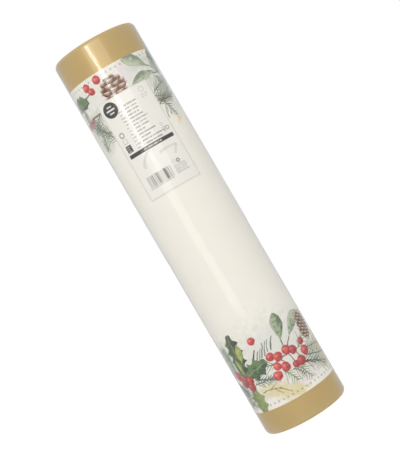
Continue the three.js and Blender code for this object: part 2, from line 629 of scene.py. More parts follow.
# %% Leaf group
def make_leaf():
    extra = [
        ("Bow", 0),
        ("Peak", 1),
        ("Full", 1),
        ("Spines", 0),
        ("Bite", 0),
        ("Grain", 0.5),
        ("Light", (0, 0, 0, 1)),
        ("Dark", (0, 0, 0, 1)),
    ]
    tree, given = start_group("leaf", MOTIF_INPUTS + extra, ["Mask", "Colour"])
    along, across = local_place(tree, given)
    share = share_of(tree, along, given["Length"])
    across, side = bent_side(tree, share, across, given["Bow"])
    bulge = calc(tree, "SINE", times(tree, calc(tree, "POWER", share, given["Peak"]), math.pi))
    bulge = calc(tree, "POWER", calc(tree, "MAXIMUM", bulge, 0), given["Full"])
    half = times(tree, bulge, times(tree, given["Width"], 0.5))
    saw = calc(tree, "FRACT", times(tree, share, given["Spines"]))
    tooth = calc(tree, "ABSOLUTE", calc(tree, "MULTIPLY_ADD", saw, 2, -1))
    bitten = times(tree, given["Bite"], less(tree, 1, calc(tree, "POWER", tooth, 1.8)))
    half = times(tree, half, less(tree, 1, bitten))
    inside = less(tree, half, side)
    mask = fade(tree, inside, 0.0, 0.7)
    patch = calc(tree, "MULTIPLY_ADD", given["Grain"], 2.2, -1.1)
    tone = fade(tree, calc(tree, "ADD", per(tree, across, given["Width"]), patch), -0.35, 0.35)
    colour = blend(tree, tone, given["Dark"], given["Light"])
    vein = calc(tree, "PINGPONG", calc(tree, "MULTIPLY_ADD", side, -0.8, along), 1.7)
    colour = blend(tree, fade(tree, vein, 0.6, 0.1, 0, 0.35), colour, given["Light"])
    colour = blend(tree, fade(tree, inside, 1.4, 0.3, 0, 0.35), colour, given["Dark"])
    colour = blend(tree, fade(tree, side, 0.6, 0.2, 0, 0.35), colour, LEAF_RIB)
    return end_group(tree, Mask=mask, Colour=colour)


# %% [markdown]
# Needles grow from both sides of a twig and slant forwards. Seen along a needle's own slant, every
# point springs from one spot of the twig, so counting those spots tells the needles apart, and a
# random number for each makes some longer than others.


# %% Needle group
def make_needles():
    extra = [("Bow", 0), ("Pitch", 2), ("Slant", 1.1)]
    tree, given = start_group("needles", MOTIF_INPUTS + extra, ["Mask"])
    along, across = local_place(tree, given)
    share = share_of(tree, along, given["Length"])
    across, side = bent_side(tree, share, across, given["Bow"])
    spot = less(tree, along, times(tree, side, given["Slant"]))
    hand = calc(tree, "SIGN", across)
    count = calc(tree, "MULTIPLY_ADD", hand, 0.3, per(tree, spot, given["Pitch"]))
    number = calc(tree, "MULTIPLY_ADD", hand, 17.5, calc(tree, "FLOOR", count))
    chance = chance_of(tree, number)
    taper = fade(tree, per(tree, spot, given["Length"]), 0.0, 1.1, 0.9, 0.4)
    reach = times(tree, times(tree, given["Width"], taper), calc(tree, "MULTIPLY_ADD", chance, 0.55, 0.5))
    offset = calc(tree, "ABSOLUTE", less(tree, calc(tree, "FRACT", count), 0.5))
    thin = times(tree, share_of(tree, side, reach), 0.35)
    line = fade(tree, calc(tree, "MULTIPLY_ADD", offset, given["Pitch"], thin), 0.85, 0.3)
    line = times(tree, line, between(tree, spot, 0, given["Length"], 0.4))
    line = times(tree, line, fade(tree, less(tree, side, reach), 0.2, -0.8))
    twig = times(tree, fade(tree, side, 0.75, 0.2), between(tree, along, 0, given["Length"], 0.4))
    return end_group(tree, Mask=calc(tree, "MAXIMUM", line, twig))


# %% [markdown]
# A stem is a thin bent strip that narrows a little towards its tip.


# %% Stem group
def make_stem():
    tree, given = start_group("stem", MOTIF_INPUTS + [("Bow", 0)], ["Mask"])
    along, across = local_place(tree, given)
    share = share_of(tree, along, given["Length"])
    _, side = bent_side(tree, share, across, given["Bow"])
    half = times(tree, given["Width"], calc(tree, "MULTIPLY_ADD", share, -0.2, 0.5))
    mask = fade(tree, less(tree, side, half), 0.5, -0.3)
    return end_group(tree, Mask=times(tree, mask, between(tree, along, 0, given["Length"], 0.4)))


# %% [markdown]
# A pine cone is an oval of scales in rows, and every second row is set over by half a scale. Each
# scale is dark where it tucks under the next one and pale at its rounded tip.

# %% Cone group
SCALE_SHAPE = 1.75


def make_cone():
    extra = [("Row", 4)]
    tree, given = start_group("cone", MOTIF_INPUTS + extra, ["Mask", "Colour"])
    along, across = local_place(tree, given)
    row = per(tree, along, given["Row"])
    odd = calc(tree, "FLOORED_MODULO", calc(tree, "FLOOR", row), 2)
    scale_width = times(tree, given["Row"], SCALE_SHAPE)
    column = calc(tree, "MULTIPLY_ADD", odd, 0.5, per(tree, across, scale_width))
    sideways = calc(tree, "ABSOLUTE", less(tree, calc(tree, "FRACT", column), 0.5))
    round_tip = times(tree, times(tree, sideways, sideways), 2.6)
    scale = less(tree, calc(tree, "FRACT", row), round_tip)
    colour = blend(tree, fade(tree, scale, 0.35, 0.9), CONE_BROWN, CONE_PALE)
    colour = blend(tree, fade(tree, scale, 0.4, 0.05), colour, CONE_DARK)
    x = per(tree, along, times(tree, given["Length"], 0.5))
    y = per(tree, across, times(tree, given["Width"], 0.5))
    rim = calc(tree, "MULTIPLY_ADD", scale, -0.2, distance(tree, x, y))
    return end_group(tree, Mask=fade(tree, rim, 0.98, 0.86), Colour=colour)


# %% [markdown]
# A wash is thin colour in much water: an oval with a ragged, fading rim. Its raggedness comes from
# one noise that all washes share.


# %% Wash and dot groups
def make_wash():
    extra = [("Strength", 0.5), ("Grain", 0.5)]
    tree, given = start_group("wash", MOTIF_INPUTS + extra, ["Mask"])
    along, across = local_place(tree, given)
    x = per(tree, along, times(tree, given["Length"], 0.5))
    y = per(tree, across, times(tree, given["Width"], 0.5))
    rim = calc(tree, "MULTIPLY_ADD", given["Grain"], 1.6, distance(tree, x, y))
    return end_group(tree, Mask=times(tree, fade(tree, rim, 1.95, 1.1), given["Strength"]))


def make_dots():
    extra = [("Height", 28), ("Pitch", 5), ("Radius", 1)]
    tree, given = start_group("dots", SHEET_INPUTS + extra, ["Mask"])
    share = calc(tree, "FRACT", per(tree, given["X"], given["Pitch"]))
    across = times(tree, less(tree, share, 0.5), given["Pitch"])
    away = distance(tree, across, less(tree, given["Y"], given["Height"]))
    return end_group(tree, Mask=fade(tree, less(tree, away, given["Radius"]), 0.5, -0.4))


BERRY = make_berry()
LEAF = make_leaf()
NEEDLES = make_needles()
STEM = make_stem()
CONE = make_cone()
WASH = make_wash()
DOTS = make_dots()
print("motifs:", [group.name for group in (BERRY, LEAF, NEEDLES, STEM, CONE, WASH, DOTS)])

# %% [markdown]
# ## Where the motifs lie
# The lists give each motif's place on the flat sheet in millimetres: across from the label's middle,
# up from the lower edge, then its turn in degrees and its size. A border repeats round the roll.

# %% Leaf and paint tones
REPEAT_MM = 132
GOLD_LOW_MM = 23.5
GOLD_HIGH_MM = 371.0
DOT_ROWS_MM = {"lower": 28.0, "upper": 367.0}

LEAF_KINDS = {
    # light tone, dark tone, peak, full, spines, bite
    "holly": (ink(108, 134, 84), ink(60, 84, 56), 1.05, 0.4, 3, 0.4),
    "dark_holly": (ink(96, 112, 66), ink(52, 64, 44), 1.2, 0.5, 5, 0.44),
    "bright_holly": (ink(152, 164, 92), ink(104, 130, 74), 0.95, 0.4, 3, 0.36),
    "glow": (ink(184, 190, 108), ink(140, 158, 84), 1.2, 0.8, 0, 0),
    "laurel": (ink(174, 186, 154), ink(98, 116, 90), 1.55, 0.68, 0, 0),
    "pale_laurel": (ink(196, 202, 178), ink(126, 140, 118), 1.55, 0.68, 0, 0),
    "grey": (ink(176, 186, 170), ink(128, 144, 126), 1.1, 0.75, 0, 0),
    "slate": (ink(120, 132, 126), ink(82, 96, 92), 1.1, 0.7, 0, 0),
}
PAINTS = {
    "gold_wash": ink(225, 213, 168),
    "mist": ink(220, 221, 216),
    "sage": ink(186, 196, 178),
    "rose": ink(214, 140, 146),
    "blush": ink(232, 222, 224),
    "plum": ink(178, 96, 122),
    "peach": ink(246, 222, 192),
    "slate": ink(146, 154, 158),
    "pine": ink(84, 106, 78),
    "sedge": ink(122, 140, 88),
    "dusk": ink(100, 116, 104),
    "reed": ink(116, 122, 98),
    "bark": ink(128, 88, 62),
    "umber": ink(84, 74, 58),
    "twig": ink(158, 132, 96),
    "moss": ink(106, 124, 82),
    "sand": ink(222, 206, 172),
}

# %% The lower border
LOWER = {
    # across, up, turn, length, width, strength, paint
    "washes": [
        (0, 66, 0, 128, 92, 0.7, "mist"),
        (-52, 78, 80, 46, 32, 0.95, "sage"),
        (-54, 46, 10, 26, 18, 0.95, "slate"),
        (-54, 64, 0, 30, 12, 1.0, "rose"),
        (36, 48, 15, 48, 32, 0.45, "sage"),
        (14, 36, 0, 50, 16, 0.9, "blush"),
        (-30, 36, 0, 18, 12, 0.8, "blush"),
        (55, 48, 80, 46, 24, 1.0, "sand"),
        (-12, 37, -24, 50, 19, 1.0, "gold_wash"),
        (2, 29, -6, 30, 13, 1.0, "gold_wash"),
        (5, 27, 0, 14, 8, 0.8, "gold_wash"),
    ],
    # across, up, turn, length, width, bow, pitch, paint
    "needles": [
        (0, 52, -62, 18, 11, 1, 3.2, "sedge"),
        (9, 48, -48, 13, 9, 1, 3.0, "moss"),
        (17, 49, -70, 18, 11, -1, 3.2, "sedge"),
        (22, 49, -30, 30, 12, 1, 3.6, "umber"),
        (31, 57, -8, 32, 12, 1, 3.0, "moss"),
        (28, 52, -14, 32, 13, -1, 3.6, "pine"),
        (34, 44, -22, 24, 12, -1, 3.4, "dusk"),
        (25, 62, 34, 14, 10, 0, 3.0, "sedge"),
        (-29, 55, -24, 24, 9, 1, 3.0, "pine"),
        (-31, 50, -2, 22, 8, 1, 3.2, "dusk"),
        (-2, 60, 172, 18, 10, 0, 3.0, "sedge"),
        (-64, 36, 12, 28, 12, 0, 3.2, "dusk"),
        (-46, 31, 158, 20, 11, 0, 3.4, "dusk"),
        (-44, 36, 200, 20, 12, 0, 3.2, "pine"),
    ],
    # across, up, turn, length, width, bow, paint
    "stems": [
        (-21, 68, 59, 14, 1.7, 0.6, "umber"),
        (-18, 67, 57, 13, 0.9, 0.5, "pine"),
        (-14.5, 68, 58, 13, 0.7, 0.5, "dusk"),
        (-11, 71, 60, 14, 0.9, -0.5, "umber"),
        (-7.5, 71, 60, 14, 0.8, 0.6, "dusk"),
        (-3.5, 73, 64, 12, 0.7, 0.4, "dusk"),
        (0, 73, 57, 13, 1.0, 0.5, "pine"),
        (-28, 41, -8, 20, 0.9, 1, "twig"),
        (-15, 40, -52, 9, 0.7, 0, "twig"),
        (-11, 38.5, -42, 13, 0.7, 0.8, "twig"),
        (-19, 40.5, 24, 8, 0.6, 0, "twig"),
        (13, 77, 262, 12, 1.0, 0, "umber"),
        (22, 75, 222, 14, 0.9, 0.5, "umber"),
        (-6, 60, 2, 36, 0.9, 1.5, "bark"),
        (3, 62, -62, 12, 0.8, 0, "bark"),
        (12, 64, -75, 14, 0.8, 0, "bark"),
        (20, 62, -78, 12, 0.8, 0, "bark"),
        (23, 48, -32, 13, 1.6, 0, "umber"),
        (-8, 66, 200, 8, 0.8, 0, "bark"),
    ],
    # across, up, turn, length, width, bow, kind
    "leaves": [
        (-60, 64, 66, 32, 15, 0, "grey"),
        (-49, 60, 98, 34, 12, 1, "grey"),
        (-46, 42, 150, 26, 13, 0, "slate"),
        (-40, 56, 86, 26, 11, 1, "holly"),
        (-37, 58, 84, 46, 23, 0, "dark_holly"),
        (-33, 73, 76, 20, 8, -1, "glow"),
        (-37.5, 62, 92, 18, 4.5, 0.5, "glow"),
        (-35, 60, 14, 27, 22, 0, "holly"),
        (-37, 47, 268, 26, 20, 0, "bright_holly"),
        (12.5, 75, 76, 27, 13, -0.5, "laurel"),
        (21, 73.5, 34, 33, 12, 2.5, "pale_laurel"),
        (40, 86, 6, 18, 9, 0, "grey"),
    ],
    # across, up, turn, length, width, scale row
    "cones": [(47, 76, 70, 29, 20, 3.3)],
    # across, up, width, how ripe
    "berries": [
        (-49, 63, 10, 0.35),
        (-44, 55, 11, 0.5),
        (-37, 50, 9.5, 0.4),
        (-40, 58, 9, 0.45),
        (-34.5, 56, 8.5, 0.3),
        (-12.2, 88.5, 7.8, 0),
        (-4, 68, 8, 0.1),
        (-2, 57, 7.8, 0),
        (2.8, 64.5, 8.8, 0.15),
        (4.5, 53, 8.8, 0.1),
        (-5.8, 49, 9, 0),
        (12.5, 66, 9, 0.1),
        (18.5, 63, 8.4, 0.3),
        (31, 65.5, 7.4, 0.35),
        (30, 56.3, 9.4, 0.15),
        (14.5, 50, 7.4, 0.4),
        (21.2, 50.5, 9.4, 0.35),
    ],
}

# %% The upper border
UPPER = {
    "washes": [
        (0, 352, 0, 126, 52, 0.55, "mist"),
        (-42, 330, 20, 44, 26, 0.6, "sage"),
        (-40, 312, 30, 34, 24, 0.55, "sage"),
        (44, 334, 20, 46, 44, 0.45, "sage"),
        (30, 361, 0, 40, 18, 0.4, "sage"),
        (10, 358, 0, 26, 26, 0.7, "blush"),
        (-52, 334, 4, 26, 11, 1.0, "plum"),
        (-45, 333, 0, 16, 7, 0.8, "rose"),
        (43, 299, 34, 18, 6, 1.0, "peach"),
        (48, 310, 20, 30, 14, 0.5, "mist"),
    ],
    "needles": [
        (26, 317, 24, 34, 13, 1, 3.0, "reed"),
        (25, 328, -14, 26, 12, -1, 3.0, "reed"),
        (27, 322, 4, 30, 12, -1, 3.2, "reed"),
        (30, 331, 14, 30, 12, 1, 3.2, "dusk"),
        (44, 318, 66, 28, 12, 0, 3.4, "slate"),
        (34, 320, -64, 20, 9, 0, 3.4, "dusk"),
        (-24, 308, 128, 30, 13, 1, 3.2, "reed"),
        (-26, 316, 146, 28, 13, 1, 3.4, "reed"),
        (-48, 304, 66, 28, 12, -1, 3.2, "dusk"),
        (-28, 338, 215, 26, 10, 0, 3.4, "dusk"),
    ],
    "stems": [
        (31, 320, 2, 20, 1.1, 0.5, "umber"),
        (30, 303, 76, 13, 0.7, 0.5, "dusk"),
        (34, 305, 62, 12, 0.7, -0.5, "dusk"),
        (-47, 313, -66, 10, 0.9, 1.5, "umber"),
        (-46, 334, 20, 8, 0.8, 0, "umber"),
        (-44, 337, 2, 15, 1.2, 0.5, "bark"),
        (-50, 336, -8, 12, 0.8, 0, "bark"),
        (-36, 356, 12, 10, 1.2, 0, "umber"),
        (34, 359, -34, 20, 0.9, 0.5, "umber"),
        (50, 347, 178, 20, 0.9, 0, "umber"),
    ],
    "leaves": [
        (-64, 350, 20, 28, 13, 0, "grey"),
        (-58, 356, -4, 24, 17, 0, "holly"),
        (-52, 352, 2, 18, 11, 0, "holly"),
        (-47, 350, 250, 16, 9, 0, "grey"),
        (40, 354, 148, 30, 13, -2, "pale_laurel"),
        (47, 349, 188, 35, 10, -1.5, "pale_laurel"),
        (48, 348, 70, 26, 14, 0, "slate"),
        (54, 344, 110, 20, 12, 0, "grey"),
        (42, 344, -50, 14, 8, 0, "grey"),
    ],
    "cones": [(-3.5, 351, 90, 24, 26, 4.6)],
    "berries": [(-28, 364, 7.8, 0), (-24.5, 358.5, 7.6, 0.1), (-14.3, 365, 8.0, 0)],
}
print("lower border:", {kind: len(places) for kind, places in LOWER.items()})
print("upper border:", {kind: len(places) for kind, places in UPPER.items()})

# %% [markdown]
# A motif's group and the mix that lays it over the print are added one after the other. The shader
# then never has to remember more than a few colours at once, however long the list is.


# %% Paint the motifs
PLACE = ("Across", "Up", "Turn", "Length", "Width")
LEAF_STYLE = ("Light", "Dark", "Peak", "Full", "Spines", "Bite")


def paint_shapes(tree, base, group, labels, places, **shared):
    """Motifs of one colour: each place ends with the name of its paint."""
    for place in places:
        laid = stamp(tree, group, **dict(zip(labels, place[:-1])), **shared)
        base = blend(tree, laid["Mask"], base, PAINTS[place[-1]])
    return base


def paint_coloured(tree, base, group, labels, places, **shared):
    """Motifs that bring their own colours."""
    for place in places:
        laid = stamp(tree, group, **dict(zip(labels, place)), **shared)
        base = blend(tree, laid["Mask"], base, laid["Colour"])
    return base


def paint_plants(tree, base, border, point, pigment):
    """Needles, stems, leaves, cones and berries, in the order of a painter's layers."""
    base = paint_shapes(tree, base, NEEDLES, PLACE + ("Bow", "Pitch"), border["needles"], **point)
    base = paint_shapes(tree, base, STEM, PLACE + ("Bow",), border["stems"], **point)
    leaves = [(*place, *LEAF_KINDS[kind]) for *place, kind in border["leaves"]]
    labels = PLACE + ("Bow",) + LEAF_STYLE
    base = paint_coloured(tree, base, LEAF, labels, leaves, Grain=pigment, **point)
    base = paint_coloured(tree, base, CONE, PLACE + ("Row",), border["cones"], **point)
    labels = ("Across", "Up", "Width", "Ripe")
    return paint_coloured(tree, base, BERRY, labels, border["berries"], Grain=pigment, **point)


# %% [markdown]
# The paper is off-white, with fibres and faint clouds. A slow tremor moves each motif by about a
# millimetre, as a hand does, while the row of dots and the gold bands stay in line. The middle of the
# sheet is plain, so it has a simple material of its own.


# %% The paper's materials
TREMOR_MM = 2.2
PAPER_ROUGHNESS = 0.6
GOLD_ROUGHNESS = 0.42
GOLD_METALLIC = 0.35
GOLD_SOFTNESS_MM = 0.3


def sheet_point(tree):
    """The flat sheet's point in millimetres, repeated round the roll and a little unsteady."""
    flat = flat_place(tree)
    x, y, _ = parts(tree, flat)
    wrapped = calc(tree, "WRAP", x, REPEAT_MM / 2, -REPEAT_MM / 2)
    tremor = add(tree, "ShaderNodeTexNoise", {"Vector": flat, "Scale": 0.16, "Detail": 1.0}).outputs[1]
    tremor_x, tremor_y, _ = parts(tree, tremor)
    shaky_x = calc(tree, "MULTIPLY_ADD", less(tree, tremor_x, 0.5), TREMOR_MM, wrapped)
    shaky_y = calc(tree, "MULTIPLY_ADD", less(tree, tremor_y, 0.5), TREMOR_MM, y)
    return flat, wrapped, y, shaky_x, shaky_y


def paper_base(tree, flat):
    fibres = grain(tree, flat, 1.1, 5.0, 0.65)
    clouds = grain(tree, flat, 0.06, 2.0)
    base = blend(tree, clouds, ink(249, 246, 238), ink(244, 240, 231))
    return blend(tree, times(tree, fibres, 0.25), base, ink(232, 226, 212)), fibres


def paint_dots(tree, base, x, y, height):
    laid = stamp(tree, DOTS, X=x, Y=y, Height=height, Pitch=5.0, Radius=0.9)
    return blend(tree, times(tree, laid["Mask"], 0.55), base, ink(120, 116, 104))


def lay_gold(tree, flat, up, base, fibres):
    """The gold bands along both edges, with slightly unsteady inner edges."""
    unsteady = calc(tree, "ADD", up, times(tree, less(tree, fibres, 0.5), 0.6))
    low = fade(tree, unsteady, GOLD_LOW_MM + GOLD_SOFTNESS_MM, GOLD_LOW_MM - GOLD_SOFTNESS_MM)
    high = fade(tree, unsteady, GOLD_HIGH_MM - GOLD_SOFTNESS_MM, GOLD_HIGH_MM + GOLD_SOFTNESS_MM)
    mask = calc(tree, "MAXIMUM", low, high)
    leafing = grain(tree, flat, 0.9, 4.0, 0.7)
    tone = blend(tree, leafing, ink(191, 160, 94), ink(213, 183, 119))
    return blend(tree, mask, base, tone), mask


def paper_material(name, border, dot_row):
    material, tree, shader = start_material(name, PAPER_ROUGHNESS)
    flat, steady_x, steady_y, x, y = sheet_point(tree)
    base, fibres = paper_base(tree, flat)
    if border:
        pigment = grain(tree, flat, 0.2, 4.0, 0.58)
        point = {"X": x, "Y": y}
        labels = PLACE + ("Strength",)
        base = paint_shapes(tree, base, WASH, labels, border["washes"], Grain=pigment, **point)
        base = paint_dots(tree, base, steady_x, steady_y, DOT_ROWS_MM[dot_row])
        base = paint_plants(tree, base, border, point, pigment)
        base, gold = lay_gold(tree, flat, steady_y, base, fibres)
        feed(tree, shader.inputs["Metallic"], times(tree, gold, GOLD_METALLIC))
        feed(tree, shader.inputs["Roughness"], fade(tree, gold, 0, 1, PAPER_ROUGHNESS, GOLD_ROUGHNESS))
    feed(tree, shader.inputs["Base Color"], base)
    emboss(tree, shader, fibres, 0.25, 0.0001)
    return material


paper_materials = [
    paper_material("printed_lower_border", LOWER, "lower"),
    paper_material("printed_middle", None, None),
    paper_material("printed_upper_border", UPPER, "upper"),
]
print("paper:", {m.name: len(m.node_tree.nodes) for m in paper_materials})

# %% [markdown]
# ## The last turn
# A roll is a flat sheet bent round, and that is how it is built: a flat grid gets its flat map first,
# and then each of its points is laid on the spiral. The spiral climbs a little with each turn, so the
# free edge at the back lies over the sheet's own start. At both ends the sheet bends in over the
# crushed corner.

# %% Roll up the printed sheet
TAIL_BEARING = 160.0
SHEET_SWEEP = 390.0
SHEET_START_RADIUS = 41.86 * MM
SHEET_CLIMB = 0.3 * MM
SHEET_WALL = 0.1 * MM
SHEET_OVERHANG = 0.4 * MM
RIPPLE_DEPTH = 0.04 * MM
FLAT_RADIUS_MM = 42.77
SHEET_COLUMNS = 260
SHEET_ROWS = 110
BORDER_HEIGHTS_MM = (120, 284)


def flat_sheet(columns, rows, place):
    """A flat grid with its flat map. Place tells a grid point's millimetres across and up."""
    shape = bmesh.new()
    bmesh.ops.create_grid(shape, x_segments=columns, y_segments=rows, size=1)
    flat = shape.loops.layers.uv.new(FLAT_MAP)
    for face in shape.faces:
        for loop in face.loops:
            loop[flat].uv = place(loop.vert.co)
    return shape


def crush(height, length):
    """How far the sheet's edge is pressed inwards at a height."""
    edge = min(height, length - height)
    if edge >= CRUSH_RADIUS:
        return 0.0
    return CRUSH_RADIUS - math.sqrt(CRUSH_RADIUS**2 - (CRUSH_RADIUS - edge) ** 2)


def roll_point(bearing, radius, height):
    angle = math.radians(bearing)
    return Vector((radius * math.sin(angle), -radius * math.cos(angle), height))


def sheet_radius(turned):
    """The middle of the printed sheet, by how many degrees it has turned since its start."""
    return SHEET_START_RADIUS + SHEET_CLIMB * turned / 360


def place_on_print(point):
    bearing = TAIL_BEARING + SHEET_SWEEP * (point.x - 1) / 2
    height = ROLL_LENGTH / 2 * (1 + math.sin(math.pi / 2 * point.y))
    return math.radians(bearing) * FLAT_RADIUS_MM, height / MM


def roll_up_sheet():
    shape = flat_sheet(SHEET_COLUMNS, SHEET_ROWS, place_on_print)
    flat = shape.loops.layers.uv[FLAT_MAP]
    for face in shape.faces:
        middle = sum(loop[flat].uv.y for loop in face.loops) / len(face.loops)
        face.material_index = sum(middle > limit for limit in BORDER_HEIGHTS_MM)
    usable = ROLL_LENGTH / 2 - END_RECESS + SHEET_OVERHANG
    for vert in shape.verts:
        turned = SHEET_SWEEP * (vert.co.x + 1) / 2
        bearing = TAIL_BEARING - SHEET_SWEEP + turned
        height = ROLL_LENGTH / 2 + usable * math.sin(math.pi / 2 * vert.co.y)
        ripple = RIPPLE_DEPTH * noise.noise(Vector((bearing / 25, height / MM / 18, 3.1)))
        radius = sheet_radius(turned) + (ripple - crush(height, ROLL_LENGTH))
        vert.co = roll_point(bearing, radius, height)
    return finish_piece(
        shape, "printed_sheet", ROLL_BODY, paper_materials, ["outer_turn"], wall=SHEET_WALL
    )


roll_up_sheet()

# %% [markdown]
# ## The tapes
# Two short tapes hold the sheet's free edge at the back. A cutter leaves a saw-tooth at both ends of
# a tape, and the tape steps down where it crosses the free edge, because the sheet under it is one
# turn lower there.

# %% Tape material and shape
TAPE_LIFT = 0.1 * MM
TAPE_WALL = 0.05 * MM
TAPE_COLUMNS = 40
TAPE_ROWS = 26
TAPE_HALF_DEGREES = 12
TOOTH_DEGREES = 0.9
STEP_DEGREES = 2.4


def tape_material():
    material, tree, shader = start_material("frosted_tape", 0.34)
    flat = flat_place(tree)
    bubbles = fade(tree, grain(tree, flat, 0.55, 3.0), 0.56, 0.68)
    feed(tree, shader.inputs["Base Color"], blend(tree, bubbles, ink(240, 237, 226), ink(250, 248, 241)))
    frost = grain(tree, flat, 3.0, 2.0)
    emboss(tree, shader, frost, 0.2, 0.0001)
    return material


def stick_tape(node, material):
    low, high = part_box(node)
    middle = (low.z + high.z) / 2
    half_height = (high.z - low.z) / 2
    upper_layer = sheet_radius(SHEET_SWEEP)
    lower_layer = sheet_radius(SHEET_SWEEP - 360)
    half_width_mm = math.radians(TAPE_HALF_DEGREES) * FLAT_RADIUS_MM
    place = lambda point: (point.x * half_width_mm, point.y * half_height / MM)
    shape = flat_sheet(TAPE_COLUMNS, TAPE_ROWS, place)
    for vert in shape.verts:
        row = round((vert.co.y + 1) * TAPE_ROWS / 2)
        bite = TOOTH_DEGREES * (row % 2) if abs(vert.co.x) > 0.999 else 0
        off_edge = vert.co.x * (TAPE_HALF_DEGREES - bite)
        step = min(1, max(0, 0.5 + off_edge / STEP_DEGREES))
        step = step * step * (3 - 2 * step)
        radius = upper_layer + (lower_layer - upper_layer) * step + TAPE_LIFT
        vert.co = roll_point(TAIL_BEARING + off_edge, radius, middle + vert.co.y * half_height)
    return finish_piece(shape, node + "_strip", ROLL_BODY, [material], [node], wall=TAPE_WALL)


tape = tape_material()
for node in ("tail_tape_upper", "tail_tape_lower"):
    stick_tape(node, tape)

# %% [markdown]
# ## The label
# The label is a sheet of coated paper that lies loose under the film. Its print is plain shapes: a
# dark badge, rows of strokes where there would be small print, pictograms, a dark bar and bars of
# uneven width. None of it can be read. Rows and bars are told apart by counting, as the needles were.

# %% Label groups
LABEL_INK = ink(52, 50, 48)
LABEL_GREY = ink(120, 118, 114)
LABEL_WHITE = ink(241, 239, 233)


def make_patch():
    extra = [("Left", 0), ("Right", 1), ("Low", 0), ("High", 1)]
    tree, given = start_group("patch", SHEET_INPUTS + extra, ["Mask"])
    wide = between(tree, given["X"], given["Left"], given["Right"], 0.25)
    tall = between(tree, given["Y"], given["Low"], given["High"], 0.25)
    return end_group(tree, Mask=times(tree, wide, tall))


def make_ring():
    extra = [("Across", 0), ("Up", 0), ("Radius", 2), ("Line", 0.5)]
    tree, given = start_group("ring", SHEET_INPUTS + extra, ["Mask"])
    x = less(tree, given["X"], given["Across"])
    y = less(tree, given["Y"], given["Up"])
    away = calc(tree, "ABSOLUTE", less(tree, distance(tree, x, y), given["Radius"]))
    away = calc(tree, "MULTIPLY_ADD", given["Line"], -0.5, away)
    return end_group(tree, Mask=fade(tree, away, 0.25, -0.25))


def make_rows():
    extra = [
        ("Left", 0),
        ("Top", 0),
        ("Pitch", 3.3),
        ("Rows", 5),
        ("Shortest", 8),
        ("Longest", 20),
        ("Stroke", 0.8),
    ]
    tree, given = start_group("rows", SHEET_INPUTS + extra, ["Mask"])
    down = per(tree, less(tree, given["Top"], given["Y"]), given["Pitch"])
    row = calc(tree, "FLOOR", down)
    seed = calc(tree, "MULTIPLY_ADD", row, 7.31, given["Left"])
    chance = chance_of(tree, seed)
    spare = less(tree, given["Longest"], given["Shortest"])
    length = calc(tree, "MULTIPLY_ADD", spare, chance, given["Shortest"])
    inward = less(tree, given["X"], given["Left"])
    letter = calc(tree, "FLOOR", per(tree, inward, given["Stroke"]))
    seed = calc(tree, "MULTIPLY_ADD", row, 57.0, letter)
    gap = chance_of(tree, seed)
    mask = times(tree, fade(tree, gap, 0.0, 0.3), between(tree, inward, 0, length, 0.15))
    mask = times(tree, mask, between(tree, calc(tree, "FRACT", down), 0.26, 0.7, 0.1))
    return end_group(tree, Mask=times(tree, mask, between(tree, down, 0, given["Rows"], 0.02)))


def make_bars():
    extra = [("Left", 0), ("Right", 1), ("Low", 0), ("High", 1)]
    extra += [("Bar", 0.5), ("Ink", 0.5)]
    tree, given = start_group("bars", SHEET_INPUTS + extra, ["Mask"])
    bar = calc(tree, "FLOOR", per(tree, given["X"], given["Bar"]))
    chance = chance_of(tree, bar)
    mask = fade(tree, less(tree, given["Ink"], chance), -0.05, 0.15)
    mask = times(tree, mask, between(tree, given["X"], given["Left"], given["Right"], 0.15))
    tall = between(tree, given["Y"], given["Low"], given["High"], 0.15)
    return end_group(tree, Mask=times(tree, mask, tall))


PATCH = make_patch()
RING = make_ring()
ROWS = make_rows()
BARS = make_bars()

# %% What is printed on the label
CODE_LOW = 254.5
CODE_HIGH = 265


def ring(across, up, radius, line):
    return RING, {"Across": across, "Up": up, "Radius": radius, "Line": line}


def patch(left, right, low, high):
    return PATCH, {"Left": left, "Right": right, "Low": low, "High": high}


def rows(left, top, pitch, count, shortest, longest):
    lengths = {"Shortest": shortest, "Longest": longest}
    return ROWS, {"Left": left, "Top": top, "Pitch": pitch, "Rows": count, **lengths}


def arc(across, up, turn, length, width, bow):
    return STEM, dict(zip(PLACE + ("Bow",), (across, up, turn, length, width, bow)))


def bars(left, right, bar, share):
    edges = {"Left": left, "Right": right, "Low": CODE_LOW, "High": CODE_HIGH}
    return BARS, {**edges, "Bar": bar, "Ink": share}


